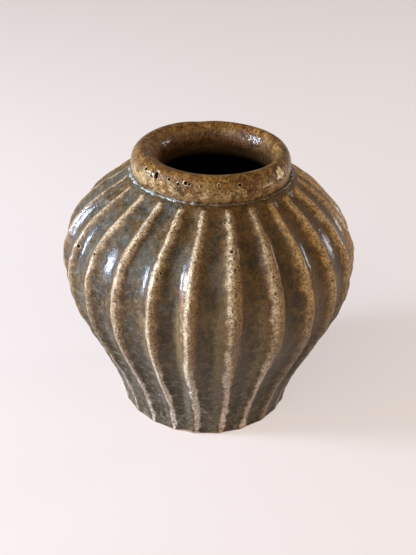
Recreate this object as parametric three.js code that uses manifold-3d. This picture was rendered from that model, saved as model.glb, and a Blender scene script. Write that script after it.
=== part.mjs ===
/**
 * A small handmade stoneware jar: a round belly drawn up into many narrow ribs with shallow flutes
 * between them, a thick rolled collar round a narrow mouth, and a flat disc let into the foot.
 *
 * The three pieces are shaped apart and luted together while the clay is soft. The base disc drops
 * onto a ledge inside the foot, and the collar sits on a flat pared round the top of the shoulder.
 * Millimetres, +Z up, origin at the centre of the foot, front towards -Y.
 */
import * as THREE from 'three';
import { mergeVertices } from 'three/addons/utils/BufferGeometryUtils.js';
import Module from 'manifold-3d';

// Driving dimensions of the wall. Its radii are measured over the crests of the ribs.
const FOOT_RADIUS = 41;
const FOOT_BEVEL = 1;
const BELLY_RADIUS = 66;
const BELLY_HEIGHT = 75.5;
const SHOULDER_RADIUS = 34.6;
const SHOULDER_HEIGHT = 115;
const WALL = 6.5;

// The wall's two curves: the slope just above the foot, and how far each end of a curve holds its
// direction, as a share of that curve's rise.
const FOOT_FLARE = 0.2;
const FOOT_HOLD = 0.45;
const BELLY_HOLD_BELOW = 0.34;
const BELLY_HOLD_ABOVE = 0.62;
const SHOULDER_HOLD = 0.02;

// Driving dimensions of the ribs. Depths run in from the crests, angles round from the front
// towards +X, in degrees.
const RIB_COUNT = 24;
const FIRST_RIB_ANGLE = 9.4;
const RIB_STRAY_ANGLE = 0.5;
const RIB_STRAY_LENGTH = 80;
const RIB_STRAY_TURNS = 5;
const RIB_TIP_BEND = 2.4;
const RIB_TIP_LENGTH = 23;
const RIB_CREST = 0.13;
const FLUTE_DEPTH = 3.2;
const FOOT_FLUTE_DEPTH = 0.5;
const FLUTE_FULL_HEIGHT = 50;
const FLUTE_FADE = 5;

// Driving dimensions of the mouth and the collar.
const MOUTH_RADIUS = 24.2;
const NECK_LAND = 2.6;
const COLLAR_RADIUS = 34.8;
const COLLAR_HEIGHT = 11.2;
const COLLAR_BULGE_HEIGHT = 4.8;
const COLLAR_UNDERCUT = 0.9;
const COLLAR_CREST_RADIUS = 29.8;
const COLLAR_BEVEL_DROP = 6;

// Driving dimensions of the base disc and the pocket that it drops into.
const FOOT_RECESS = 2.5;
const FOOT_WALL = 4.6;
const LEDGE_WIDTH = 2.2;
const BASE_THICKNESS = 6.5;
const BASE_EDGE_ROUND = 1.2;
const BASE_CLEARANCE = 0.3;

// How finely the round forms are cut into flats.
const STEPS_PER_RIB = 8;
const PLAIN_STEPS = 64;
const WALL_ROWS_BELOW = 12;
const WALL_ROWS_ABOVE = 10;
const CAVITY_ROWS = 6;
const COLLAR_ARC_ROWS = 5;
const BASE_EDGE_ROWS = 2;
const CUT_MARGIN = 1;

// Sizes that follow from the ones above.
const POCKET_RADIUS = FOOT_RADIUS - FOOT_WALL;
const LEDGE_RADIUS = POCKET_RADIUS - LEDGE_WIDTH;
const BASE_RADIUS = POCKET_RADIUS - BASE_CLEARANCE;
const BASE_TOP = FOOT_RECESS + BASE_THICKNESS;
const NECK_HEIGHT = SHOULDER_HEIGHT - NECK_LAND;

const GLAZED_BODY = { color: 0x75603f, roughness: 0.28, metalness: 0 };
const GLAZED_COLLAR = { color: 0x7d5c33, roughness: 0.25, metalness: 0 };
const BARE_CLAY = { color: 0xb08a70, roughness: 0.9, metalness: 0 };

const { PI, cos, sin } = Math;
const { degToRad, lerp, smoothstep } = THREE.MathUtils;
const UP = new THREE.Vector3(0, 0, 1);

const wasm = await Module();
wasm.setup();

/** The outline of the wall from the foot to the belly, over the crests of the ribs. */
function lowerWallCurve() {
  const rise = BELLY_HEIGHT - FOOT_BEVEL;
  const hold = FOOT_HOLD * rise;
  return new THREE.CubicBezierCurve(
    new THREE.Vector2(FOOT_RADIUS, FOOT_BEVEL),
    new THREE.Vector2(FOOT_RADIUS + FOOT_FLARE * hold, FOOT_BEVEL + hold),
    new THREE.Vector2(BELLY_RADIUS, BELLY_HEIGHT - BELLY_HOLD_BELOW * rise),
    new THREE.Vector2(BELLY_RADIUS, BELLY_HEIGHT),
  );
}

/** The outline of the wall from the belly to the flat that the collar sits on. */
function upperWallCurve() {
  const rise = SHOULDER_HEIGHT - BELLY_HEIGHT;
  const belly = new THREE.Vector2(BELLY_RADIUS, BELLY_HEIGHT);
  const bellyHandle = new THREE.Vector2(BELLY_RADIUS, BELLY_HEIGHT + BELLY_HOLD_ABOVE * rise);
  const shoulder = new THREE.Vector2(SHOULDER_RADIUS, SHOULDER_HEIGHT);
  const shoulderHandle = shoulder.clone().lerp(bellyHandle, SHOULDER_HOLD);
  return new THREE.CubicBezierCurve(belly, bellyHandle, shoulderHandle, shoulder);
}

/** A solid turned about the Z axis from its outline, given as points of radius and height. */
function turned(outline, steps) {
  return new THREE.LatheGeometry(outline, steps).rotateX(PI / 2);
}

/** Points on a quarter of an ellipse, from one angle to another, without its first point. */
function quarterRound(centre, radii, fromAngle, toAngle, rows) {
  const points = [];
  for (let row = 1; row <= rows; row += 1) {
    const angle = degToRad(lerp(fromAngle, toAngle, row / rows));
    points.push(new THREE.Vector2(centre.x + radii.x * cos(angle), centre.y + radii.y * sin(angle)));
  }
  return points;
}

/** A closed geometry as a solid that can be cut. */
function solidOf(geometry) {
  const bare = geometry.clone();
  bare.deleteAttribute('normal');
  bare.deleteAttribute('uv');
  const merged = mergeVertices(bare);
  const corners = merged.getIndex().array;
  const triangles = [];
  for (let i = 0; i < corners.length; i += 3) {
    const [a, b, c] = corners.slice(i, i + 3);
    // On the axis a turned face shrinks to a line, which is left out.
    if (a !== b && b !== c && c !== a) {
      triangles.push(a, b, c);
    }
  }
  const vertProperties = Float32Array.from(merged.getAttribute('position').array);
  const triVerts = Uint32Array.from(triangles);
  return new wasm.Manifold(new wasm.Mesh({ numProp: 3, vertProperties, triVerts }));
}

/** A cut solid as a geometry again. */
function geometryOf(solid) {
  const { vertProperties, triVerts } = solid.getMesh();
  const geometry = new THREE.BufferGeometry();
  geometry.setAttribute('position', new THREE.BufferAttribute(vertProperties, 3));
  geometry.setIndex(new THREE.BufferAttribute(triVerts, 1));
  geometry.computeVertexNormals();
  return geometry;
}

/** How deep the flutes are at a height: finer at the foot, and fading out under the collar. */
function fluteDepthAt(height) {
  const rise = smoothstep(height, 0, FLUTE_FULL_HEIGHT);
  const fade = smoothstep(SHOULDER_HEIGHT - height, 0, FLUTE_FADE);
  return lerp(FOOT_FLUTE_DEPTH, FLUTE_DEPTH, rise) * fade;
}

/** The share of the depth that is cut away, from 0 on a rounded crest to 1 mid-flute. */
function fluteShareAt(angle) {
  const turns = ((angle - degToRad(FIRST_RIB_ANGLE)) * RIB_COUNT) / (2 * PI);
  const scoop = Math.hypot(sin(PI * turns), RIB_CREST) - RIB_CREST;
  return scoop / (Math.hypot(1, RIB_CREST) - RIB_CREST);
}

/** How far the hand strayed to one side, in radians, at a place on the wall: most at the rib tips. */
function strayAt(angle, height) {
  const wave = (2 * PI * height) / RIB_STRAY_LENGTH + RIB_STRAY_TURNS * angle;
  const tip = 1 - smoothstep(SHOULDER_HEIGHT - height, 0, RIB_TIP_LENGTH);
  return degToRad(RIB_STRAY_ANGLE * sin(wave) + RIB_TIP_BEND * tip);
}

/** Cuts the flutes into a turned wall whose columns of points follow the ribs. */
function cutFlutes(wall) {
  wall.rotateZ(degToRad(FIRST_RIB_ANGLE));
  const position = wall.getAttribute('position');
  const point = new THREE.Vector3();
  for (let i = 0; i < position.count; i += 1) {
    point.fromBufferAttribute(position, i);
    const height = point.z;
    const radius = Math.hypot(point.x, point.y);
    const angle = Math.atan2(point.x, -point.y);
    const cut = Math.min(fluteDepthAt(height) * fluteShareAt(angle), radius);
    point.addScaledVector(new THREE.Vector3(-sin(angle), cos(angle), 0), cut);
    point.applyAxisAngle(UP, strayAt(angle, height));
    position.setXYZ(i, point.x, point.y, point.z);
  }
  return wall;
}

/** Points of the hollow inside the wall, one wall's thickness in from the outline of its ribs. */
function hollowOutline() {
  const points = [];
  for (const curve of [lowerWallCurve(), upperWallCurve()]) {
    for (let row = 0; row < CAVITY_ROWS; row += 1) {
      const share = (row + 0.5) / CAVITY_ROWS;
      const along = curve.getTangent(share);
      const inward = new THREE.Vector2(-along.y, along.x);
      points.push(curve.getPoint(share).addScaledVector(inward, WALL));
    }
  }
  return points.filter((point) => point.y > BASE_TOP && point.y < NECK_HEIGHT && point.x > MOUTH_RADIUS);
}

/** The ribbed wall, open at the mouth and at the foot, with a ledge for the base disc. */
function flutedBody() {
  const outline = [
    new THREE.Vector2(0, 0),
    new THREE.Vector2(FOOT_RADIUS - FOOT_BEVEL, 0),
    ...lowerWallCurve().getPoints(WALL_ROWS_BELOW),
    ...upperWallCurve().getPoints(WALL_ROWS_ABOVE).slice(1),
    new THREE.Vector2(0, SHOULDER_HEIGHT),
  ];
  const cavity = [
    new THREE.Vector2(0, -CUT_MARGIN),
    new THREE.Vector2(LEDGE_RADIUS, -CUT_MARGIN),
    new THREE.Vector2(LEDGE_RADIUS, FOOT_RECESS),
    new THREE.Vector2(POCKET_RADIUS, FOOT_RECESS),
    new THREE.Vector2(POCKET_RADIUS, BASE_TOP),
    ...hollowOutline(),
    new THREE.Vector2(MOUTH_RADIUS, NECK_HEIGHT),
    new THREE.Vector2(MOUTH_RADIUS, SHOULDER_HEIGHT + CUT_MARGIN),
    new THREE.Vector2(0, SHOULDER_HEIGHT + CUT_MARGIN),
  ];
  const outside = cutFlutes(turned(outline, RIB_COUNT * STEPS_PER_RIB));
  return geometryOf(solidOf(outside).subtract(solidOf(turned(cavity, PLAIN_STEPS))));
}

/** The rolled collar: a flat underside, a bulging face, a rounded crest and a bevel to the mouth. */
function collar() {
  const outerRadii = { x: COLLAR_RADIUS - COLLAR_CREST_RADIUS, y: COLLAR_HEIGHT - COLLAR_BULGE_HEIGHT };
  const innerRadii = { x: COLLAR_CREST_RADIUS - MOUTH_RADIUS, y: COLLAR_BEVEL_DROP };
  const underRadii = { x: COLLAR_UNDERCUT, y: COLLAR_BULGE_HEIGHT };
  const underCentre = { x: COLLAR_RADIUS - COLLAR_UNDERCUT, y: COLLAR_BULGE_HEIGHT };
  const outerCentre = { x: COLLAR_CREST_RADIUS, y: COLLAR_BULGE_HEIGHT };
  const innerCentre = { x: COLLAR_CREST_RADIUS, y: COLLAR_HEIGHT - COLLAR_BEVEL_DROP };
  return turned([
    new THREE.Vector2(MOUTH_RADIUS, 0),
    new THREE.Vector2(COLLAR_RADIUS - COLLAR_UNDERCUT, 0),
    ...quarterRound(underCentre, underRadii, -90, 0, COLLAR_ARC_ROWS),
    ...quarterRound(outerCentre, outerRadii, 0, 90, COLLAR_ARC_ROWS),
    ...quarterRound(innerCentre, innerRadii, 90, 180, COLLAR_ARC_ROWS),
    new THREE.Vector2(MOUTH_RADIUS, 0),
  ], PLAIN_STEPS);
}

/** The base disc: a plain slab with its upper edge thumbed round. */
function baseDisc() {
  const edgeCentre = { x: BASE_RADIUS - BASE_EDGE_ROUND, y: BASE_THICKNESS - BASE_EDGE_ROUND };
  const edgeRadii = { x: BASE_EDGE_ROUND, y: BASE_EDGE_ROUND };
  return turned([
    new THREE.Vector2(0, 0),
    new THREE.Vector2(BASE_RADIUS, 0),
    new THREE.Vector2(BASE_RADIUS, BASE_THICKNESS - BASE_EDGE_ROUND),
    ...quarterRound(edgeCentre, edgeRadii, 0, 90, BASE_EDGE_ROWS),
    new THREE.Vector2(0, BASE_THICKNESS),
  ], PLAIN_STEPS);
}

/** A named piece of the jar at its height above the table. */
function piece(name, geometry, finish, height) {
  const mesh = new THREE.Mesh(geometry, new THREE.MeshStandardMaterial(finish));
  mesh.name = name;
  mesh.position.z = height;
  return mesh;
}

const jar = new THREE.Group();
jar.name = 'ribbed_jar';
jar.add(
  piece('base_disc', baseDisc(), BARE_CLAY, FOOT_RECESS),
  piece('fluted_body', flutedBody(), GLAZED_BODY, 0),
  piece('collar', collar(), GLAZED_COLLAR, SHOULDER_HEIGHT),
);

export default jar;
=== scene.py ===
"""A small ribbed stoneware jar in its fired ash glaze, on a pale floor in soft studio light.

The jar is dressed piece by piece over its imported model: the ribbed wall, the rolled collar, the glaze
that pooled in the joint between them, and the base disc in the foot. Sizes are in millimetres until a
mesh is made, and angles run round from the front, towards +X.
"""
from __future__ import annotations

import logging
import math
from dataclasses import dataclass, field
from enum import Enum

import bmesh
import bpy
import numpy as np
from mathutils import Matrix, Vector


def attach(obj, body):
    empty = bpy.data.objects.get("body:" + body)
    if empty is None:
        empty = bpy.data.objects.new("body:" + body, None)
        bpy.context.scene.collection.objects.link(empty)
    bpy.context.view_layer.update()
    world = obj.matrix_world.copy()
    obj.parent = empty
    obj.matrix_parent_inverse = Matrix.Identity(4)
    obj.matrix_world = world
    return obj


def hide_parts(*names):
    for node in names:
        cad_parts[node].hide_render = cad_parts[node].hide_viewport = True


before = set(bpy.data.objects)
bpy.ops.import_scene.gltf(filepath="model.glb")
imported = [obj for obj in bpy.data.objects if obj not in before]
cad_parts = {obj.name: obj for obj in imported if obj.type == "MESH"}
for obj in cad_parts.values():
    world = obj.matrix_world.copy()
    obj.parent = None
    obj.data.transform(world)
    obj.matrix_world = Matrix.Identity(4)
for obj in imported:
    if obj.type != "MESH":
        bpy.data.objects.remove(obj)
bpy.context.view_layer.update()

MM = 0.001
FULL_TURN = 2 * math.pi
LOG = logging.getLogger("jar")

Nodes = bpy.types.NodeTree
Node = bpy.types.Node
Socket = bpy.types.NodeSocket
Source = Node | Socket | float
Colour = tuple[float, float, float, float]


def linear(hex_colour: str) -> Colour:
    """Turns an sRGB hex colour into a linear one.

    Args:
        hex_colour: the colour as "#RRGGBB".

    Returns:
        The linear red, green, blue and an alpha of one.
    """
    channels = [int(hex_colour[i:i + 2], 16) / 255 for i in (1, 3, 5)]
    red, green, blue = (c / 12.92 if c <= 0.04045 else ((c + 0.055) / 1.055) ** 2.4 for c in channels)
    return (red, green, blue, 1.0)


def smooth(values: np.ndarray, low: float, high: float) -> np.ndarray:
    """A smooth step from 0 at low to 1 at high.

    Args:
        values: the values to step.
        low: where the step starts; it may lie above high, for a step down.
        high: where the step ends.

    Returns:
        The stepped values.
    """
    share = np.clip((values - low) / (high - low), 0.0, 1.0)
    return share * share * (3 - 2 * share)


def angle_between(angles: np.ndarray, centre: float) -> np.ndarray:
    """The shortest way round from a centre to each angle, in radians.

    Args:
        angles: angles in radians.
        centre: the centre in degrees.

    Returns:
        Signed differences from -pi to pi.
    """
    return (angles - math.radians(centre) + math.pi) % FULL_TURN - math.pi


def ash_held(angle: np.ndarray, facing: float) -> np.ndarray:
    """How much ash the glaze holds round the jar.

    Args:
        angle: angles in radians.
        facing: the side that caught the ash of the fire, in degrees.

    Returns:
        Shares from 0 to 1.
    """
    return smooth(np.cos(angle - math.radians(facing)), -0.2, 0.8)


def add(tree: Nodes, kind: str, inputs: dict | None = None, **settings: object) -> Node:
    """Adds a node to a material with its settings and links.

    Args:
        tree: the material's node tree.
        kind: the node's type name.
        inputs: values for its inputs, by name or place; a node or a socket is linked.
        settings: the node's own properties.

    Returns:
        The new node.
    """
    node = tree.nodes.new(kind)
    for name, value in settings.items():
        setattr(node, name, value)
    for key, value in (inputs or {}).items():
        if isinstance(value, bpy.types.Node):
            value = value.outputs[0]
        if isinstance(value, bpy.types.NodeSocket):
            tree.links.new(value, node.inputs[key])
        else:
            node.inputs[key].default_value = value
    return node


@dataclass(frozen=True)
class HandWaves:
    """Smooth unevenness that a hand leaves: a sum of seeded waves round and up the jar."""

    seed: int
    most_round: int
    rise: float
    amount: float = 1.0
    waves: int = 20

    def at(self, angle: np.ndarray, height: np.ndarray) -> np.ndarray:
        """Reads the waves at places on the jar.

        Args:
            angle: angles in radians.
            height: heights in millimetres.

        Returns:
            Values that mostly lie between minus the amount and the amount.
        """
        draw = np.random.default_rng(self.seed)
        total = np.zeros(np.broadcast(angle, height).shape)
        for _ in range(self.waves):
            turns = int(draw.integers(0, self.most_round + 1))
            steepness = draw.uniform(-1, 1) * FULL_TURN / self.rise
            total += np.cos(turns * angle + steepness * height + draw.uniform(0, FULL_TURN))
        return self.amount * (total / math.sqrt(self.waves))


def cubic(corners: list[tuple[float, float]], shares: np.ndarray) -> np.ndarray:
    """Points on a cubic curve.

    Args:
        corners: its start, two handles and end.
        shares: how far along each point lies, from 0 to 1.

    Returns:
        One row of radius and height for each share.
    """
    start, first, second, end = (np.array(corner) for corner in corners)
    t = shares[:, None]
    u = 1 - t
    return u ** 3 * start + 3 * u * u * t * first + 3 * u * t * t * second + t ** 3 * end


def quarter(centre: tuple[float, float], radii: tuple[float, float],
            start: float, end: float) -> np.ndarray:
    """Points on a quarter of an ellipse.

    Args:
        centre: its centre, as radius and height.
        radii: its reach outward and upward.
        start: the angle it starts at, in degrees.
        end: the angle it ends at.

    Returns:
        One row of radius and height for each point.
    """
    turn = np.radians(np.linspace(start, end, 40))
    return np.stack([centre[0] + radii[0] * np.cos(turn), centre[1] + radii[1] * np.sin(turn)], 1)


def spaced(points: np.ndarray, count: int) -> np.ndarray:
    """Spaces points evenly along a line.

    Args:
        points: the line's points.
        count: how many points to return.

    Returns:
        The new points, from the first to the last.
    """
    steps = np.hypot(*np.diff(points, axis=0).T)
    along = np.concatenate([[0], np.cumsum(steps)])
    wanted = np.linspace(0, along[-1], count)
    return np.stack([np.interp(wanted, along, points[:, i]) for i in (0, 1)], 1)


@dataclass
class Surface:
    """Rows of points round the jar, and what the glaze does at each of them."""

    radius: np.ndarray
    height: np.ndarray
    angle: np.ndarray
    marks: dict[str, np.ndarray] = field(default_factory=dict)
    sharp: float = 60.0

    def points(self) -> np.ndarray:
        """Places the points in space.

        Returns:
            Rows, columns and three coordinates, in millimetres.
        """
        x = self.radius * np.sin(self.angle)
        y = -self.radius * np.cos(self.angle)
        return np.stack([x, y, self.height], -1)

    def mesh(self, name: str, closed: bool) -> bpy.types.Object:
        """Makes the mesh of the surface.

        Args:
            name: the new piece's name.
            closed: whether the last row joins the first.

        Returns:
            The new object, smooth shaded, with one attribute for each mark.
        """
        points = self.points()
        rows, columns = points.shape[:2]
        row = np.arange(rows if closed else rows - 1)[:, None]
        column = np.arange(columns)[None, :]
        after = (row + 1) % rows
        beside = (column + 1) % columns
        corners = [row * columns + column, row * columns + beside,
                   after * columns + beside, after * columns + column]
        faces = np.stack(np.broadcast_arrays(*corners), -1).reshape(-1, 4)
        mesh = bpy.data.meshes.new(name)
        mesh.from_pydata((points.reshape(-1, 3) * MM).tolist(), [], faces.tolist())
        mesh.shade_smooth()
        mesh.set_sharp_from_angle(angle=math.radians(self.sharp))
        for mark, values in self.marks.items():
            layer = mesh.attributes.new(mark, "FLOAT", "POINT")
            layer.data.foreach_set("value", values.astype(np.float32).ravel())
        piece = bpy.data.objects.new(name, mesh)
        bpy.context.scene.collection.objects.link(piece)
        return piece


@dataclass(frozen=True)
class Pit:
    """A burst bubble or pinhole in the glaze, by its place and size in degrees and millimetres."""

    angle: float
    height: float
    width: float = 1.0
    tall: float = 1.0
    depth: float = 0.7


@dataclass(frozen=True)
class Lean:
    """A place on the jar where the ribs were drawn to one side, in degrees and millimetres."""

    angle: float
    reach: float
    amount: float
    height: float = 60.0
    tall: float = 300.0

    def at(self, angle: np.ndarray, height: np.ndarray) -> np.ndarray:
        """Reads how far the ribs lean at places on the jar.

        Args:
            angle: angles in radians.
            height: heights in millimetres.

        Returns:
            The lean in degrees.
        """
        round_jar = np.degrees(angle_between(angle, self.angle)) / self.reach
        up_jar = (height - self.height) / self.tall
        return self.amount * np.exp(-round_jar ** 2 - up_jar ** 2)


@dataclass(frozen=True)
class Fold:
    """A second, lower crest beside a rib, where the clay was drawn up twice, in degrees and millimetres."""

    angle: float
    low: float
    high: float
    rise: float
    width: float = 1.3
    rising: float = 12.0
    falling: float = 8.0

    def at(self, angle: np.ndarray, height: np.ndarray) -> np.ndarray:
        """Reads how much of the fold stands at places on the jar.

        Args:
            angle: angles in radians.
            height: heights in millimetres.

        Returns:
            Shares from 0 to 1.
        """
        beside = np.degrees(angle_between(angle, self.angle)) / self.width
        begun = smooth(height, self.low, self.low + self.rising)
        unended = smooth(height, self.high, self.high - self.falling)
        return np.exp(-beside ** 2) * begun * unended


@dataclass
class RibbedWall:
    """The ribbed wall of the jar, from its foot ring to the flat under the collar.

    Places across a rib run from -0.5 to 0.5, with its crest at 0. A pair of heights is where something
    starts and where it is full.
    """

    # The outline over the crests, and the inside
    foot_radius: float = 40.6
    foot_bevel: float = 1.0
    belly_radius: float = 65.9
    belly_height: float = 75.5
    shoulder_radius: float = 34.6
    shoulder_height: float = 115.0
    foot_flare: float = 0.2
    foot_hold: float = 0.45
    hold_below: float = 0.34
    hold_above: float = 0.62
    shoulder_hold: float = 0.02
    wall: float = 6.5
    mouth_radius: float = 24.1
    mouth_shift: float = 1.9
    neck_land: float = 5.0
    pocket_radius: float = 36.4
    ledge_radius: float = 34.2
    recess: float = 2.5
    base_top: float = 9.0
    ring_depth: float = 0.25
    ring_pitch: float = 7.0

    # The ribs and flutes, as a hand left them
    ribs: int = 24
    first_rib: float = 9.4
    crest: float = 0.15
    ridge_share: float = 0.6
    ridge_width: float = 0.19
    flute_depth: float = 3.3
    foot_flute_depth: float = 0.5
    flute_full_height: float = 50.0
    flute_fade: float = 5.0
    tip_bend: float = 2.4
    tip_length: float = 23.0
    rounding: HandWaves = HandWaves(3, 14, 24, 0.4)
    deepening: HandWaves = HandWaves(5, 12, 60, 0.14)
    wear: tuple[HandWaves, ...] = (HandWaves(7, 30, 11), HandWaves(8, 50, 4.5))
    wear_depth: float = 0.15
    wobble: HandWaves = HandWaves(9, 3, 70)
    wobble_depth: float = 0.2
    most_uneven: float = 0.7
    wander: HandWaves = HandWaves(11, 9, 90, 0.35)
    tremble: HandWaves = HandWaves(12, 40, 22, 0.12)

    # Where the glaze thinned over the crests and where it stops, with the light, shade and sheen painted on
    # the ribs and round the sides
    crest_width: float = 0.20
    # The line of painted sheen along the crests: its width, and how far it sits to one side at each height.
    line_width: float = 0.12
    line_aside: float = 0.05
    line_heights: tuple[float, float] = (50, 20)
    # The shift of the band across each rib, and its width by side and height, paint a lit and a shaded side
    # on the ribs.
    painted_light_shift: float = 0.1
    low_painted_light_shift: float = 0.04
    painted_light_shift_heights: tuple[float, float] = (60, 25)
    low_narrowing: float = 0.48
    narrow_heights: tuple[float, float] = (70, 35)
    # The left side of each rib at the front, where painted light is laid.
    flank: float = 0.22
    flank_width: float = 0.16
    fold_paleness: float = 0.8
    ash_side: float = -35.0
    # The left side, where slate glaze and a painted grey-blue sheen lie in the flutes, and the crests are
    # paler as painted light.
    slate_and_sheen_side: float = -55.0
    glaze_edge: HandWaves = HandWaves(13, 20, 50, 0.4)

    # How finely the mesh is divided
    columns_per_rib: int = 20
    crowding: float = 1.3
    outer_rows: int = 142
    inner_rows: int = 26

    # Single marks of the hand and the kiln, at their places on the real jar
    leans: tuple[Lean, ...] = (
        Lean(33, 20, 1.3), Lean(0, 14, -0.9), Lean(-66, 16, -0.4),
        Lean(-28, 12, 1.7, 50, 24), Lean(43, 10, 1.8, 55, 25), Lean(8, 20, 1.3, 12, 25),
        Lean(47, 14, 3.6, 10, 28), Lean(36, 20, -2.8, 114, 12), Lean(-52, 14, 1.0, 114, 12),
    )
    folds: tuple[Fold, ...] = (
        Fold(28.9, 50, 111, 1.3), Fold(12.2, 66, 108, 1.0, 1.1), Fold(-9.0, 58, 101, 0.45, 1.0),
    )
    pits: tuple[Pit, ...] = (
        Pit(-64.0, 90.3, 1.5, 1.3, 0.9), Pit(-50.3, 93.2, 1.3, 1.0, 0.8), Pit(-33.5, 92.0, 1.0, 0.9),
        Pit(-34.8, 75.2, 0.9, 0.8), Pit(-33.0, 66.8, 1.2, 1.0), Pit(-18.6, 95.1, 1.1, 0.9),
        Pit(-17.3, 96.9, 1.0, 0.7), Pit(-18.6, 64.8, 1.1, 0.9), Pit(-4.2, 101.4, 0.9, 0.8),
        Pit(-4.3, 104.7, 0.8, 0.7), Pit(-5.6, 85.7, 0.8, 0.7), Pit(-3.9, 80.9, 0.8, 0.7),
        Pit(10.0, 103.2, 1.7, 1.1, 0.6), Pit(10.5, 98.1, 1.1, 1.0, 0.9), Pit(8.3, 110.0, 1.0, 0.7),
        Pit(10.2, 78.3, 1.1, 0.7), Pit(25.3, 87.8, 1.3, 0.8, 0.9), Pit(25.6, 93.6, 1.0, 0.9),
        Pit(22.2, 82.0, 0.9, 0.8), Pit(41.0, 97.0, 0.9, 0.8), Pit(40.6, 101.0, 0.8, 0.8),
        Pit(54.6, 90.5, 1.2, 0.7), Pit(54.0, 83.6, 0.9, 0.7),
    )

    def outline(self) -> np.ndarray:
        """Draws the outer outline over the crests.

        Returns:
            Rows of radius and height, evenly spaced from the foot to the shoulder.
        """
        rise = self.belly_height - self.foot_bevel
        hold = self.foot_hold * rise
        foot = (self.foot_radius, self.foot_bevel)
        above_foot = (self.foot_radius + self.foot_flare * hold, self.foot_bevel + hold)
        below_belly = (self.belly_radius, self.belly_height - self.hold_below * rise)
        belly = (self.belly_radius, self.belly_height)
        lift = self.hold_above * (self.shoulder_height - self.belly_height)
        above_belly = (self.belly_radius, self.belly_height + lift)
        shoulder = (self.shoulder_radius, self.shoulder_height)
        near_shoulder = tuple(np.array(shoulder) * (1 - self.shoulder_hold)
                              + np.array(above_belly) * self.shoulder_hold)
        fine = np.linspace(0, 1, 400)
        lower = cubic([foot, above_foot, below_belly, belly], fine)
        upper = cubic([belly, above_belly, near_shoulder, shoulder], fine)
        edge = np.array([[self.foot_radius - self.foot_bevel, 0.0]])
        return spaced(np.concatenate([edge, lower, upper[1:]]), self.outer_rows)

    def inside(self) -> np.ndarray:
        """Draws the inner outline.

        Returns:
            Rows of radius and height, from the flat under the collar down to the foot's inner edge.
        """
        outer = self.outline()
        along = np.gradient(outer, axis=0)
        along /= np.hypot(*along.T)[:, None]
        inward = np.stack([-along[:, 1], along[:, 0]], 1)
        hollow = outer + inward * self.wall
        neck = self.shoulder_height - self.neck_land
        kept = hollow[(hollow[:, 1] > self.base_top + 1) & (hollow[:, 1] < neck - 0.5)
                      & (hollow[:, 0] > self.mouth_radius + self.neck_land)]
        down = spaced(kept[::-1], self.inner_rows)
        bore = quarter((self.mouth_radius + self.neck_land, self.shoulder_height),
                       (self.neck_land, self.neck_land), 180, 255)[::5]
        foot = [(self.pocket_radius, self.base_top), (self.pocket_radius, self.recess),
                (self.ledge_radius, self.recess), (self.ledge_radius, 0.0)]
        return np.concatenate([bore, down, foot])

    def rib_places(self) -> tuple[np.ndarray, np.ndarray]:
        """Places the columns of points round the wall, crowded at the crests.

        Returns:
            Each column's angle in radians, and its place across a rib.
        """
        even = (np.arange(self.columns_per_rib) + 0.5) / self.columns_per_rib - 0.5
        across = np.sign(even) * np.abs(2 * even) ** self.crowding / 2
        pitch = FULL_TURN / self.ribs
        angle = (np.arange(self.ribs)[:, None] + across[None, :]) * pitch + math.radians(self.first_rib)
        return angle.ravel(), np.tile(across, self.ribs)

    def stray(self, angle: np.ndarray, height: np.ndarray) -> np.ndarray:
        """How far the ribs stray round the jar.

        Args:
            angle: where each column would be, in radians.
            height: heights in millimetres.

        Returns:
            The stray at each place, in radians.
        """
        stray = self.wander.at(angle, height) + self.tremble.at(angle, height)
        stray += self.tip_bend * smooth(self.shoulder_height - height, self.tip_length, 0)
        return np.radians(stray + sum(lean.at(angle, height) for lean in self.leans))

    def relief(self, across: np.ndarray, angle: np.ndarray, height: np.ndarray) -> np.ndarray:
        """How deep the flutes and the wear of the crests go.

        Args:
            across: places across a rib.
            angle: angles in radians.
            height: heights in millimetres.

        Returns:
            The depth below the outline, in millimetres.
        """
        roundness = self.crest * np.clip(1 + self.rounding.at(angle, height), 0.4, 2)
        scoop = np.hypot(np.sin(math.pi * across), roundness) - roundness
        ridge = 1 - np.exp(-(across / self.ridge_width) ** 2)
        cut = (1 - self.ridge_share) * scoop / (np.hypot(1, roundness) - roundness)
        cut = cut + self.ridge_share * ridge
        deeper = smooth(height, 0, self.flute_full_height)
        fade = smooth(self.shoulder_height - height, 0, self.flute_fade)
        depth = (self.foot_flute_depth + (self.flute_depth - self.foot_flute_depth) * deeper) * fade
        depth = depth * (1 + self.deepening.at(angle, height))
        worn = self.wear_depth * (1 + sum(waves.at(angle, height) for waves in self.wear))
        wobble = self.wobble_depth * (1 + self.wobble.at(angle, height))
        uneven = np.clip(worn, 0, self.most_uneven) * (1 - cut) + np.clip(wobble, 0, self.most_uneven)
        held = smooth(height, 0, 4) * smooth(self.shoulder_height - height, 0, 3)
        return depth * cut + uneven * held

    def thrown(self, radius: np.ndarray, angle: np.ndarray, height: np.ndarray) -> np.ndarray:
        """Puts the throwing rings on the inside, and its mouth a little off the axis.

        Args:
            radius: radii in millimetres.
            angle: angles in radians.
            height: heights in millimetres.

        Returns:
            The new radii.
        """
        neck = self.shoulder_height - self.neck_land
        rings = self.ring_depth * np.cos(FULL_TURN * height / self.ring_pitch + angle)
        rings = rings * smooth(height, self.base_top, 30) * smooth(height, neck, 90)
        radius = radius + (height > self.base_top) * (height < neck) * rings
        at_mouth = smooth(height, 100, neck) * (radius < self.mouth_radius + 6)
        return radius + at_mouth * self.mouth_shift * np.sin(angle)

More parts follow.
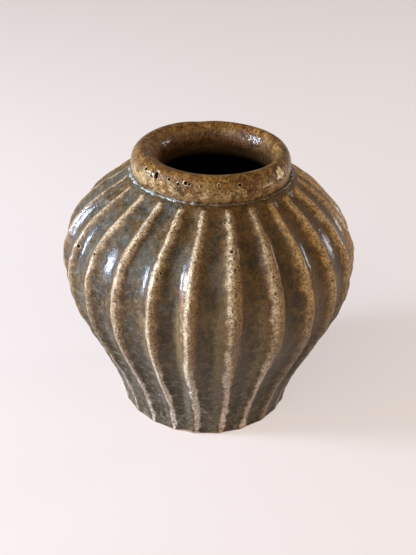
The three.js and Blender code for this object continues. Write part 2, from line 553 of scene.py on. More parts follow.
    def glaze_marks(self, across: np.ndarray, angle: np.ndarray, height: np.ndarray,
                    outside: np.ndarray) -> dict[str, np.ndarray]:
        """Marks what the glaze does at each point.

        The crest, line and flank marks follow each rib: the band where the glaze thinned, which is shifted
        sideways and changed in width by side and height to paint a lit and a shaded side on the ribs; the
        line of painted sheen in it; and the rib's left side, which gets painted light at the front. The ash,
        cold, pale and dull marks follow the sides of the jar: where it caught ash; the left side, with slate
        glaze that is partly a painted grey-blue sheen, and crests made paler there as painted light; a faint
        cream line of thin glaze all round, which becomes painted sheen and painted glints at the front; and
        the crests off the front, which are duller.

        Args:
            across: places across a rib.
            angle: angles in radians.
            height: heights in millimetres.
            outside: 1 on the outer face, 0 elsewhere.

        Returns:
            The marks by name, from 0 to about 1. Pits and their rims are marked later.
        """
        front, right = np.cos(angle), np.sin(angle)
        tip = smooth(self.shoulder_height - height, 0.2, 2.2)
        # The band is thin glaze; shifting it sideways and changing its width by side and height paints a lit
        # and a shaded side on the ribs.
        lit_shift = self.painted_light_shift * (front - 0.7)
        lit_shift += self.low_painted_light_shift * (1 + right) * smooth(height, *self.painted_light_shift_heights)
        reach = self.crest_width * (1 + 0.2 * right)
        reach *= 1 - self.low_narrowing * smooth(height, *self.narrow_heights) * smooth(right, 0.6, -0.2)
        crests = np.exp(-((across - lit_shift) / reach) ** 2) * tip
        for fold in self.folds:
            crests = np.maximum(crests, self.fold_paleness * fold.at(angle, height))
        aside = self.line_aside * (1 - 1.6 * smooth(height, *self.line_heights))
        # The line of painted sheen inside the band.
        lines = np.exp(-((across - lit_shift + aside) / self.line_width) ** 2) * tip
        # The left flank of each rib, which gets painted light at the front.
        flanks = np.exp(-((across + self.flank) / self.flank_width) ** 2)
        edge = self.glaze_edge.at(angle, height)
        return {
            "crest": outside * crests,
            "line": outside * lines,
            "flank": outside * flanks * smooth(front, 0.88, 0.96),
            "ash": ash_held(angle, self.ash_side),
            # A faint cream line of thin glaze all round, which grows into painted sheen and painted glints
            # on the crests at the front.
            "pale": 0.35 + 0.65 * smooth(front, 0.75, 0.97) - 0.2 * smooth(height, 80, 40),
            # The left side: slate glaze with a painted grey-blue sheen in the flutes, and paler crests as
            # painted light.
            "slate_and_sheen": smooth(np.cos(angle - math.radians(self.slate_and_sheen_side)), 0.3, 1.0),
            "dull": smooth(front, 0.96, 0.70) * smooth(height, 85, 50),
            "bare": smooth(height + edge, 1.3, 0.7),
            "pit": np.zeros_like(height),
            "rim": np.zeros_like(height),
        }

    def surface(self) -> Surface:
        """Shapes the wall with its ribs and marks what the glaze does.

        Returns:
            The closed surface, outside first.
        """
        outer, inner = self.outline(), self.inside()
        seat = np.linspace(outer[-1], inner[0], 4)[1:-1]
        sole = np.linspace(inner[-1], outer[0], 4)[1:-1]
        rings = np.concatenate([outer, seat, inner, sole])
        columns, across = self.rib_places()
        height = np.broadcast_to(rings[:, 1:], (len(rings), len(columns))).copy()
        angle = np.broadcast_to(columns, height.shape).copy()
        radius = np.broadcast_to(rings[:, :1], height.shape).copy()
        outside = np.zeros_like(height)
        outside[:len(outer)] = 1
        # The inner face, which the glaze darkens as painted shade.
        inside = np.zeros_like(height)
        inside[len(outer) + len(seat):-len(sole)] = 1

        radius -= outside * self.relief(across, angle, height)
        angle += outside * self.stray(columns[None, :], height)
        for fold in self.folds:
            radius += outside * fold.rise * fold.at(angle, height)
        radius = np.where(inside > 0, self.thrown(radius, angle, height), radius)
        marks = self.glaze_marks(across, angle, height, outside) | {"inside": inside}
        return Surface(radius, height, angle, marks)

    def build(self) -> bpy.types.Object:
        """Builds the wall with its pits, and returns it."""
        wall = self.surface().mesh("ribbed_wall", closed=True)
        Pitting(self.pits).sink(wall, least_radius=self.shoulder_radius)
        return wall


@dataclass
class Pitting:
    """Sinks burst bubbles and pinholes into a finished mesh, which it refines round each of them."""

    pits: tuple[Pit, ...]
    margins: tuple[float, ...] = (1.0, 0.5)
    rim: float = 0.2

    def centres(self, places: np.ndarray, least_radius: float) -> list[np.ndarray]:
        """Finds where each pit lies on the outer face.

        Args:
            places: the mesh's points in millimetres.
            least_radius: the radius inside which no pit lies.

        Returns:
            The nearest point to each pit.
        """
        radius = np.hypot(places[:, 0], places[:, 1])
        angle = np.arctan2(places[:, 0], -places[:, 1])
        found = []
        for pit in self.pits:
            off = np.hypot(angle_between(angle, pit.angle) * radius, places[:, 2] - pit.height)
            found.append(places[np.argmin(off + 99 * (radius < least_radius))])
        return found

    def refine(self, piece: bpy.types.Object, centres: list[np.ndarray]) -> None:
        """Splits the edges round each pit, once for each margin.

        Args:
            piece: the piece, whose mesh is replaced.
            centres: where each pit lies, in millimetres.
        """
        for margin in self.margins:
            mesh = piece.data
            places = read_points(mesh)
            ends = np.empty(len(mesh.edges) * 2, np.int32)
            mesh.edges.foreach_get("vertices", ends)
            middle = places[ends.reshape(-1, 2)].mean(1)
            near = np.zeros(len(middle), bool)
            for pit, centre in zip(self.pits, centres):
                near |= np.linalg.norm(middle - centre, axis=1) < max(pit.width, pit.tall) / 2 + margin
            work = bmesh.new()
            work.from_mesh(mesh)
            work.edges.ensure_lookup_table()
            edges = [work.edges[i] for i in np.flatnonzero(near)]
            bmesh.ops.subdivide_edges(work, edges=edges, cuts=1, use_grid_fill=True)
            work.to_mesh(mesh)
            work.free()

    def sink(self, piece: bpy.types.Object, least_radius: float) -> None:
        """Sinks the pits into a piece and marks them.

        Args:
            piece: the piece, whose mesh has a pit mark.
            least_radius: the radius inside which no pit lies, in millimetres.
        """
        centres = self.centres(read_points(piece.data), least_radius)
        self.refine(piece, centres)
        mesh = piece.data
        places = read_points(mesh)
        normals = np.empty(len(mesh.vertices) * 3, np.float32)
        mesh.vertex_normals.foreach_get("vector", normals)
        normals = normals.reshape(-1, 3)
        holes = np.zeros(len(places))
        rims = np.zeros(len(places))
        moved = places.copy()
        angle = np.arctan2(places[:, 0], -places[:, 1])
        radius = np.hypot(places[:, 0], places[:, 1])
        for pit, centre in zip(self.pits, centres):
            centre_radius = math.hypot(centre[0], centre[1])
            centre_angle = math.degrees(math.atan2(centre[0], -centre[1]))
            turn = angle_between(angle, centre_angle) * centre_radius
            along = np.hypot(places[:, 2] - centre[2], radius - centre_radius)
            away = np.hypot(turn / (pit.width / 2), along / (pit.tall / 2))
            bowl = smooth(away, 1.2, 0.3)
            lip = smooth(away, 1.9, 1.35) * smooth(away, 0.9, 1.3)
            moved -= normals * (bowl * pit.depth - lip * self.rim)[:, None]
            holes = np.maximum(holes, smooth(away, 1.1, 0.7))
            rims = np.maximum(rims, lip)
        mesh.vertices.foreach_set("co", (moved * MM).astype(np.float32).ravel())
        mesh.attributes["pit"].data.foreach_set("value", holes.astype(np.float32))
        mesh.attributes["rim"].data.foreach_set("value", rims.astype(np.float32))
        mesh.update()


def read_points(mesh: bpy.types.Mesh) -> np.ndarray:
    """Reads a mesh's points.

    Args:
        mesh: the mesh.

    Returns:
        One row of three coordinates for each point, in millimetres.
    """
    places = np.empty(len(mesh.vertices) * 3, np.float32)
    mesh.vertices.foreach_get("co", places)
    return places.reshape(-1, 3).astype(float) / MM


@dataclass
class Collar:
    """The thick rolled collar that was luted on the shoulder."""

    seat: float = 115.0
    top: float = 11.0
    radius: float = 34.6
    bulge_height: float = 4.8
    undercut: float = 0.9
    crest_radius: float = 29.9
    bevel_drop: float = 8.5
    mouth_radius: float = 24.1
    mouth_shift: float = 1.9
    pared: float = 0.3
    most_pared: float = 0.9
    paring: HandWaves = HandWaves(21, 7, 30, 0.3)
    throwing: HandWaves = HandWaves(23, 6, 20, 0.3)
    dip: float = 0.3
    dipping: HandWaves = HandWaves(25, 5, 90, 0.25)
    notch: float = -169.0
    notch_width: float = 9.0
    notch_depth: float = 0.5
    ripple: HandWaves = HandWaves(27, 60, 3, 0.05)
    scar_depth: float = 0.35
    scar: Pit = Pit(56.0, 122.6, 5.4, 4.4)
    streak: Pit = Pit(42.0, 120.6, 3.4, 0.45)
    rows: int = 112
    columns: int = 540
    pits: tuple[Pit, ...] = (
        Pit(-51.8, 123.6, 1.5, 1.3, 1.0), Pit(-40.8, 122.9, 1.8, 3.0, 1.3), Pit(-30.0, 122.9, 1.2, 1.1, 0.9),
        Pit(-22.5, 122.0, 1.0, 1.3, 0.6), Pit(-17.2, 123.1, 1.5, 1.4, 1.1), Pit(-14.8, 122.7, 1.0, 1.0, 0.9),
        Pit(-6.8, 122.5, 0.9, 0.9, 0.8), Pit(5.0, 123.3, 0.8, 0.8, 0.8), Pit(20.0, 122.9, 1.3, 1.2, 1.0),
        Pit(-22.8, 119.5, 0.8, 0.7, 0.5), Pit(-45.5, 122.0, 0.8, 0.7, 0.5), Pit(56.3, 122.7, 0.9, 0.8, 0.6),
    )

    def outline(self) -> np.ndarray:
        """Draws the collar's closed section.

        Returns:
            Rows of radius and height, evenly spaced, starting at the mouth's lower edge.
        """
        under = (self.radius - self.undercut, self.bulge_height)
        outer = (self.crest_radius, self.bulge_height)
        inner = (self.crest_radius, self.top - self.bevel_drop)
        return spaced(np.concatenate([
            [(self.mouth_radius, 0.0)],
            quarter(under, (self.undercut, self.bulge_height), -90, 0),
            quarter(outer, (self.radius - self.crest_radius, self.top - self.bulge_height), 0, 90),
            quarter(inner, (self.crest_radius - self.mouth_radius, self.bevel_drop), 90, 180),
            [(self.mouth_radius, 0.0)],
        ]), self.rows + 1)[:-1]

    def broken(self, angle: np.ndarray, rise: np.ndarray) -> np.ndarray:
        """Where a blister burst and left a scar, and where the glaze is scratched beside it.

        Args:
            angle: angles in radians.
            rise: heights above the collar's seat, in millimetres.

        Returns:
            Shares from 0 to 1.
        """
        aside = angle_between(angle, self.scar.angle) * self.radius / self.scar.width
        above = (rise + self.seat - self.scar.height) / self.scar.tall
        turn = np.arctan2(above, aside)
        points = 1 + 0.18 * np.cos(5 * turn + 0.6) + 0.12 * np.cos(3 * turn + 2)
        scar = smooth(np.hypot(aside, above) / points, 0.52, 0.36)
        along = angle_between(angle, self.streak.angle) * self.radius
        off = rise + self.seat - self.streak.height - 0.1 * along
        streak = np.exp(-(along / self.streak.width) ** 2 - (off / self.streak.tall) ** 2)
        return np.maximum(scar, 0.5 * streak)

    def build(self) -> bpy.types.Object:
        """Builds the collar with its pits and its blister scar.

        Returns:
            The finished piece, in its place.
        """
        section = self.outline()
        angle = np.arange(self.columns)[None, :] * FULL_TURN / self.columns * np.ones((self.rows, 1))
        radius = section[:, :1] * np.ones_like(angle)
        rise = section[:, 1:] * np.ones_like(angle)
        free = smooth(rise, 0, 2)
        innerness = smooth(section[:, :1], self.crest_radius, self.mouth_radius) * np.ones_like(angle)
        outerness = smooth(section[:, :1], self.crest_radius - 1, self.radius - 1) * np.ones_like(angle)
        radius += innerness * self.mouth_shift * np.sin(angle)
        radius -= outerness * free * np.clip(self.pared + self.paring.at(angle, rise), 0, self.most_pared)
        radius += innerness * free * self.throwing.at(angle, rise)
        notch = np.exp(-(np.degrees(angle_between(angle, self.notch)) / self.notch_width) ** 2)
        dip = self.dip + self.dipping.at(angle, 0 * rise) + self.notch_depth * notch
        rise = rise * (1 - np.clip(dip, 0, 1) / self.top)
        radius += outerness * free * self.ripple.at(angle, rise * 2)
        broken = outerness * self.broken(angle, rise)
        radius -= self.scar_depth * broken
        marks = {
            # The inner face of the mouth, where painted shade deepens downwards.
            "inside": innerness * smooth(rise, self.top - 1, self.top - 6),
            "crest": smooth(rise, self.top - 4, self.top - 1),
            "scar": broken,
            "pit": np.zeros_like(angle),
            "rim": np.zeros_like(angle),
        }
        collar = Surface(radius, rise + self.seat, angle, marks).mesh("rolled_collar", closed=True)
        Pitting(self.pits).sink(collar, least_radius=self.crest_radius)
        return collar


@dataclass
class JointPool:
    """The glaze that ran into the joint at the collar's foot and set there as a narrow glassy ring."""

    radius: float = 34.4
    height: float = 115.1
    width: float = 0.85
    flatness: float = 0.6
    ash_gain: float = 0.25
    thinning: HandWaves = HandWaves(31, 24, 40, 0.35)
    beading: HandWaves = HandWaves(33, 70, 40, 0.25)
    ash_side: float = -80.0
    columns: int = 360
    rows: int = 14

    def build(self) -> bpy.types.Object:
        """Builds the ring, thicker where more glaze ran in.

        Returns:
            The finished piece, in its place.
        """
        angle = np.arange(self.columns)[None, :] * FULL_TURN / self.columns
        around = np.arange(self.rows)[:, None] * FULL_TURN / self.rows
        angle = angle * np.ones_like(around)
        uneven = self.thinning.at(angle, 0 * angle) + self.beading.at(angle, 0 * angle)
        ash = ash_held(angle, self.ash_side)
        thick = self.width * (1 + self.ash_gain * ash) * np.clip(1 + uneven, 0.3, 1.6)
        radius = self.radius + thick * np.cos(around)
        height = self.height + self.flatness * thick * np.sin(around)
        return Surface(radius, height, angle, {"ash": ash}).mesh("joint_pool", closed=True)


@dataclass
class BaseDisc:
    """The base disc in the foot: bare and turned below, glazed inside the jar."""

    radius: float = 36.1
    low: float = 2.5
    high: float = 9.0
    edge: float = 1.2
    gap: float = 0.4
    turning_pitch: float = 2.6
    turning_depth: float = 0.12
    spiral_pitch: float = 9.0
    spiral_depth: float = 0.35
    columns: int = 160
    rows: int = 70

    def build(self) -> bpy.types.Object:
        """Builds the disc with its turning rings.

        Returns:
            The finished piece, in its place.
        """
        out = np.linspace(self.gap, self.radius - self.gap, self.rows)
        back = np.linspace(self.radius - self.edge - 0.5, self.gap, self.rows)
        below = np.stack([out, np.full_like(out, self.low)], 1)
        above = np.stack([back, np.full_like(back, self.high)], 1)
        side = np.array([(self.radius, self.low + self.gap), (self.radius, self.high - self.edge)])
        centre = (self.radius - self.edge, self.high - self.edge)
        corner = quarter(centre, (self.edge, self.edge), 0, 90)[5::7]
        section = np.concatenate([below, side, corner, above])
        angle = np.arange(self.columns)[None, :] * FULL_TURN / self.columns * np.ones((len(section), 1))
        radius = section[:, :1] * np.ones_like(angle)
        height = section[:, 1:] * np.ones_like(angle)
        is_below = height < self.low + 0.1
        is_above = height > self.high - 0.1
        rings = self.turning_depth * (1 + np.cos(FULL_TURN * radius / self.turning_pitch + angle))
        spiral = self.spiral_depth * (1 + np.cos(FULL_TURN * radius / self.spiral_pitch + angle))
        spiral = spiral * smooth(radius, 34, 26)
        height += is_below * rings * smooth(radius, self.radius, self.radius - 3) - is_above * spiral
        marks = {"bare": 1.0 * is_below}
        disc = Surface(radius, height, angle, marks).mesh("base_slab", closed=False)
        close_ends(disc, self.columns, len(section))
        return disc


def close_ends(piece: bpy.types.Object, columns: int, rows: int) -> None:
    """Closes the small round openings that are left on the axis of a turned disc.

    Args:
        piece: the disc, whose first and last rows stand round the axis.
        columns: how many points a row has.
        rows: how many rows there are.
    """
    work = bmesh.new()
    work.from_mesh(piece.data)
    work.verts.ensure_lookup_table()
    first = [work.verts[i] for i in range(columns)]
    last = [work.verts[(rows - 1) * columns + i] for i in range(columns)]
    work.faces.new(reversed(first))
    work.faces.new(last)
    work.to_mesh(piece.data)
    work.free()


@dataclass(frozen=True)
class Pattern:
    """A cloudy pattern in a glaze or a clay, by the size of its features in millimetres.

    It can be drawn out up and down, as a glaze that ran, and moved so that two patterns differ.
    """

    size: float
    detail: float = 3.0
    roughness: float = 0.6
    drawn: float = 1.0
    moved: float = 0.0

    def build(self, tree: Nodes) -> Node:
        """Adds the pattern to a material.

        Args:
            tree: the material's node tree.

        Returns:
            The node whose value is the pattern, about 0.5 on average.
        """
        where = add(tree, "ShaderNodeTexCoord").outputs["Object"]
        place = add(tree, "ShaderNodeMapping", {
            "Vector": where, "Location": (self.moved, self.moved, self.moved),
            "Scale": (1, 1, 1 / self.drawn)})
        return add(tree, "ShaderNodeTexNoise", {
            "Vector": place, "Scale": 1 / (self.size * MM), "Detail": self.detail,
            "Roughness": self.roughness})


@dataclass(frozen=True)
class Layer:
    """A colour over the ones before it, from nothing at low to the most at high of a value."""

    colour: str | Socket
    value: Source
    low: float = 0.0
    high: float = 1.0
    most: float = 1.0
    within: Source | None = None


def layered(tree: Nodes, base: str | Socket, layers: list[Layer]) -> Socket:
    """Lays colours over each other.

    Args:
        tree: the material's node tree.
        base: the lowest colour, as hex or a socket.
        layers: what lies over it, lowest first.

    Returns:
        The socket of the finished colour.
    """
    below = linear(base) if isinstance(base, str) else base
    for layer in layers:
        above = linear(layer.colour) if isinstance(layer.colour, str) else layer.colour
        through = add(tree, "ShaderNodeMapRange", {
            "Value": layer.value, "From Min": layer.low, "From Max": layer.high,
            "To Min": 0.0, "To Max": layer.most}, interpolation_type="SMOOTHSTEP")
        if layer.within is not None:
            through = add(tree, "ShaderNodeMath", {0: through, 1: layer.within}, operation="MULTIPLY")
        mixed = add(tree, "ShaderNodeMix", {0: through, 6: below, 7: above}, data_type="RGBA")
        below = mixed.outputs[2]
    return below


def weighed(tree: Nodes, start: Source, parts: list[tuple[Source, float]]) -> Source:
    """Adds values to a first one, each times its own weight.

    Args:
        tree: the material's node tree.
        start: the first value, a number or a socket.
        parts: pairs of a value and its weight.

    Returns:
        The node of the sum.
    """
    total = start
    for value, weight in parts:
        total = add(tree, "ShaderNodeMath", {0: value, 1: weight, 2: total}, operation="MULTIPLY_ADD")
    return total


def zone(tree: Nodes, rise: tuple[float, float], fall: tuple[float, float] | None = None) -> Node:
    """A mask by the height on the jar.

    Args:
        tree: the material's node tree.
        rise: the heights in millimetres between which it rises from 0 to 1.
        fall: those between which it falls to 0 again, if it does.

    Returns:
        The node of the mask.
    """
    where = add(tree, "ShaderNodeTexCoord").outputs["Object"]
    height = add(tree, "ShaderNodeSeparateXYZ", {0: where}).outputs["Z"]
    steps = [rise] if fall is None else [rise, (fall[1], fall[0])]
    share = 1.0
    for low, high in steps:
        step = add(tree, "ShaderNodeMapRange", {
            "Value": height, "From Min": low * MM, "From Max": high * MM}, interpolation_type="SMOOTHSTEP")
        share = add(tree, "ShaderNodeMath", {0: step, 1: share}, operation="MULTIPLY")
    return share


def start_material(name: str) -> tuple[bpy.types.Material, Nodes, Node]:
    """Starts a material.

    Args:
        name: its name.

    Returns:
        The material, its emptied node tree and its shader, already joined to the output.
    """
    material = bpy.data.materials.new(name)
    material.use_nodes = True
    tree = material.node_tree
    tree.nodes.clear()
    shader = add(tree, "ShaderNodeBsdfPrincipled")
    add(tree, "ShaderNodeOutputMaterial", {"Surface": shader})
    return material, tree, shader


def speckle(tree: Nodes, colour: Socket, grain: Source, spread: float) -> Socket:
    """Darkens a colour to half and lightens it to one and a half times by a grain.

    Args:
        tree: the material's node tree.
        colour: the colour's socket.
        grain: the grain, about 0.5 on average.
        spread: how far from 0.5 it is at its darkest and lightest.

    Returns:
        The socket of the speckled colour.
    """
    shade = add(tree, "ShaderNodeMapRange", {
        "Value": grain, "From Min": 0.5 - spread, "From Max": 0.5 + spread, "To Min": 0.5, "To Max": 1.5})
    return add(tree, "ShaderNodeVectorMath", {0: colour, "Scale": shade}, operation="SCALE").outputs[0]


@dataclass(frozen=True)
class GlassySkin:
    """The uneven surface of a glaze, and the clear skin over it that mirrors the lamps.

    Depths are in millimetres. The waves blur the mirror images a little and the sparkle breaks them up.
    """

    depth: float
    waves: float
    blur: float
    sparkle: float = 0.0
    wave_depth: float = 0.5

    def fit(self, tree: Nodes, shader: Node, clouds: dict[str, Source]) -> None:
        """Gives the skin to a shader.

        Args:
            tree: the material's node tree.
            shader: its shader.
            clouds: the glaze's patterns, by name, with a cloud, a mottle and a grain.
        """
        cloud, mottle, grain = clouds["cloud"], clouds["mottle"], clouds["grain"]
        relief = weighed(tree, 0.0, [(cloud, 0.6), (mottle, 0.5), (grain, 0.4)])
        bump = add(tree, "ShaderNodeBump", {
            "Strength": 0.9, "Distance": self.depth * MM, "Height": relief})
        ripple = weighed(tree, 0.0, [(cloud, 0.7), (mottle, 0.6), (grain, self.sparkle)])
        skin = add(tree, "ShaderNodeBump", {
            "Strength": self.waves, "Distance": self.wave_depth * MM, "Height": ripple})
        tree.links.new(bump.outputs[0], shader.inputs["Normal"])
        tree.links.new(skin.outputs[0], shader.inputs["Coat Normal"])
        shader.inputs["IOR"].default_value = 1.5
        shader.inputs["Specular IOR Level"].default_value = 0.08
        shader.inputs["Coat Roughness"].default_value = self.blur


# The clouds in the glaze, each by the size that its patches have on such ware. Only the two grains are
# drawn coarser than they are, which is about 0.3 mm, because they would be too fine to show.
WALL_CLOUDS = {
    "patch": Pattern(14, detail=2),
    "far_patch": Pattern(9, moved=0.31),
    "drift": Pattern(6, drawn=2.5),
    "cloud": Pattern(3.5, detail=4),
    "veins": Pattern(3.2, detail=4, roughness=0.65, moved=0.47),
    "mottle": Pattern(1.6, detail=3, roughness=0.65, drawn=1.3, moved=0.17),
    "sand": Pattern(0.9, detail=1, moved=0.23),
    "grain": Pattern(0.7, roughness=0.7),
}
COLLAR_CLOUDS = {
    "patch": Pattern(9),
    "streaks": Pattern(4.5, detail=4, roughness=0.65, drawn=1.8, moved=0.29),
    "cloud": Pattern(3.2, detail=4),
    "mottle": Pattern(1.5, roughness=0.65, moved=0.17),
    "grain": Pattern(0.8, roughness=0.7),
}


@dataclass(frozen=True)
class AshGlaze:
    """Ash glaze on stoneware, poured and fired.

    It gives the eye broad tan bands where it thinned over the crests, with a broken cream line along them
    that is mostly painted sheen, painted glints low at the front, painted light on the left flanks of the
    front ribs and on the crests of the right side, and olive, brown and slate clouds with dark streaks
    where it ran together in the flutes, the slate on the left partly a painted grey-blue sheen.
    """

    olive: str = "#4B3D20"
    # Golden, and the moss colour, are painted light on the left flanks of the front ribs.
    golden: str = "#7C6C49"
    dark: str = "#281C0F"
    russet: str = "#6E5029"
    umber: str = "#362713"
    amber: str = "#5F4626"
    ashen: str = "#544C39"
    slate: str = "#56523F"
    steel: str = "#464137"
    warm: str = "#5F4420"
    brown: str = "#684D2C"
    tan: str = "#92754E"
    # Honey: partly painted light on the crests of the right side.
    honey: str = "#AE8448"
    sandy: str = "#A78B69"
    # Cream and rosy serve mostly as painted sheen and painted highlights on the crests.
    cream: str = "#DCC8A4"
    rosy: str = "#E0CFBE"
    dusty: str = "#6B5A43"
    # Painted glints on the lower front crests.
    painted_glint_white: str = "#F4E6D6"
    # Painted light on the lower left flanks of the front ribs.
    moss: str = "#7E7562"
    crackle: str = "#867E72"
    rim: str = "#A88A5C"
    fleck: str = "#35230F"
    clay: str = "#C9A58C"
    # Hole: painted shade in the pits.
    hole: str = "#120C07"
    # Inner and throat: painted shade inside the jar, near black deep in it and brown near the mouth.
    inner: str = "#1A120B"
    throat: str = "#3E2C18"

    def in_flutes(self, tree: Nodes, marks: dict[str, Socket], clouds: dict[str, Source]) -> Socket:
        """Lays the colours in the flutes over each other.

        Args:
            tree: the material's node tree.
            marks: the wall's marks, by name.
            clouds: the glaze's patterns, by name.

        Returns:
            The socket of the finished colour.
        """
        ash, slate_and_sheen = marks["ash"], marks["slate_and_sheen"]
        far_patch, cloud, veins, mottle = (
            clouds[name] for name in ("far_patch", "cloud", "veins", "mottle"))
        cool = weighed(tree, 0.0, [(far_patch, 0.75), (mottle, 0.25), (slate_and_sheen, 0.07)])
        # Painted light on the lit left flanks of the front ribs, broken up.
        painted_lit_flank = weighed(tree, marks["flank"], [(clouds["broken"], 1.7)])
        low_ash = add(tree, "ShaderNodeMath", {0: zone(tree, (62, 30)), 1: ash}, operation="MULTIPLY")
        upper_slate_and_sheen = add(tree, "ShaderNodeMath", {0: zone(tree, (84, 94)), 1: slate_and_sheen}, operation="MULTIPLY")
        return layered(tree, self.olive, [
            Layer(self.ashen, mottle, 0.40, 0.64, 0.9, zone(tree, (60, 20))),
            Layer(self.russet, ash, 0.7, 0.1, 0.8, zone(tree, (30, 70))),
            Layer(self.umber, ash, 0.7, 0.1, 0.8, zone(tree, (70, 30))),
            Layer(self.amber, cloud, 0.32, 0.62, 0.8, zone(tree, (42, 72))),
            Layer(self.dark, clouds["drift"], 0.42, 0.68, 0.7),
            Layer(self.warm, cloud, 0.35, 0.6, 0.9, zone(tree, (98, 108))),
            # Slate on the upper left, partly a painted grey-blue reflection.
            Layer(self.slate, cool, 0.49, 0.61, 0.85, upper_slate_and_sheen),
            Layer(self.slate, cool, 0.47, 0.62, 0.5, low_ash),
            Layer(self.crackle, veins, 0.50, 0.70, 0.7, low_ash),
            # Grey on the left flutes, partly a painted sheen.
            Layer(self.steel, far_patch, 0.44, 0.60, 0.7, slate_and_sheen),
            Layer(self.crackle, veins, 0.50, 0.68, 0.4, slate_and_sheen),
            Layer(self.dark, veins, 0.48, 0.34, 0.6, slate_and_sheen),
            # Painted light on the left flanks, higher up and lower down.
            Layer(self.golden, painted_lit_flank, 0.0, 0.8, 0.85, zone(tree, (26, 50), (74, 90))),
            Layer(self.moss, painted_lit_flank, 0.0, 0.9, 0.5, zone(tree, (50, 26))),
        ])

    def over_crests(self, tree: Nodes, marks: dict[str, Socket], clouds: dict[str, Source],
                    flute: Socket) -> Socket:
        """Lays the colours of the crests over those of the flutes.

        Args:
            tree: the material's node tree.
            marks: the wall's marks, by name.
            clouds: the glaze's patterns, by name.
            flute: the socket of the flutes' colour.

        Returns:
            The socket of the finished colour.
        """
        ash, slate_and_sheen, pale, dull = (marks[name] for name in ("ash", "slate_and_sheen", "pale", "dull"))
        thin = weighed(tree, marks["crest"], [(clouds["broken"], 1.0)])
        # The broken line of painted sheen, and the lower front, where the crests get painted sheen and
        # painted glints.
        fine = weighed(tree, marks["line"], [(clouds["broken"], 1.1), (clouds["far_patch"], 1.2)])
        low_front = add(tree, "ShaderNodeMath", {0: zone(tree, (62, 30)), 1: pale}, operation="MULTIPLY")
        body = layered(tree, self.tan, [
            # Lighter golden crests on the right side, partly painted light.
            Layer(self.honey, ash, 0.95, 0.4, 1.0, zone(tree, (55, 90))),
            # Paler crests on the left, partly painted light and, high up, a painted highlight.
            Layer(self.sandy, slate_and_sheen, 0.3, 0.9, 0.7),
            Layer(self.cream, zone(tree, (96, 106)), 0.0, 1.0, 0.4, slate_and_sheen),
        ])
        # The painted sheen along the crests, with painted glints over it at the lower front.
        bright = layered(tree, self.cream, [
            Layer(self.rosy, clouds["cloud"], 0.30, 0.45, 1.0, zone(tree, (60, 36)))])
        painted_glints = layered(tree, bright, [Layer(self.painted_glint_white, clouds["mottle"], 0.48, 0.60, 0.9)])
        return layered(tree, flute, [
            Layer(self.brown, thin, 0.05, 0.65),
            Layer(body, thin, 0.35, 0.95),
            Layer(self.dusty, thin, 0.15, 0.90, 0.85, dull),
            # Painted sheen and painted glints on the crests, mainly at the front.
            Layer(self.rosy, thin, 0.45, 1.15, 1.0, low_front),
            Layer(bright, fine, 0.95, 1.90, 0.9, pale),
            Layer(painted_glints, fine, 0.80, 1.50, 0.95, low_front),
            Layer(self.fleck, clouds["sand"], 0.52, 0.62, 0.7, add(tree, "ShaderNodeClamp", {0: thin})),
        ])

    def material(self) -> bpy.types.Material:
        """Builds the glaze of the ribbed wall.

        Returns:
            The finished material.
        """
        material, tree, shader = start_material("ash_glaze_poured_on_stoneware")
        marks = {
            name: add(tree, "ShaderNodeAttribute", attribute_name=name).outputs["Fac"]
            for name in ("crest", "line", "flank", "ash", "slate_and_sheen", "pale", "dull", "pit", "rim", "bare",
                         "inside")}
        clouds = {name: pattern.build(tree) for name, pattern in WALL_CLOUDS.items()}
        clouds["broken"] = weighed(tree, -1.05, [
            (clouds["cloud"], 1.1), (clouds["mottle"], 0.5), (clouds["patch"], 0.5)])
        glaze = self.over_crests(tree, marks, clouds, self.in_flutes(tree, marks, clouds))
        blotch = weighed(tree, 0.0, [(clouds["grain"], 0.7), (clouds["mottle"], 0.3)])
        # Painted shade inside the jar, darkest deep down.
        within = layered(tree, self.inner, [Layer(self.throat, zone(tree, (105, 117)))])
        colour = layered(tree, speckle(tree, glaze, blotch, 0.12), [
            Layer(within, marks["inside"], 0.3, 0.7),
            Layer(self.rim, marks["rim"], 0.0, 1.0, 0.8),
            # Painted shade in the pits.
            Layer(self.hole, marks["pit"]),
            Layer(self.clay, marks["bare"]),
        ])
        tree.links.new(colour, shader.inputs["Base Color"])
        roughness = add(tree, "ShaderNodeMapRange", {"Value": marks["bare"], "To Min": 0.4, "To Max": 0.85})
        tree.links.new(roughness.outputs[0], shader.inputs["Roughness"])
        gloss = add(tree, "ShaderNodeMapRange", {
            "Value": zone(tree, (35, 80), (107, 113)), "To Min": 0.1, "To Max": 0.5})
        wet = add(tree, "ShaderNodeMapRange", {
            "Value": blotch, "From Min": 0.58, "From Max": 0.50, "To Min": 0.2, "To Max": 1.0})
        coat = add(tree, "ShaderNodeMath", {0: gloss, 1: wet}, operation="MULTIPLY")
        tree.links.new(coat.outputs[0], shader.inputs["Coat Weight"])
        GlassySkin(depth=0.8, waves=0.4, blur=0.06, sparkle=0.2).fit(tree, shader, clouds)
        return material


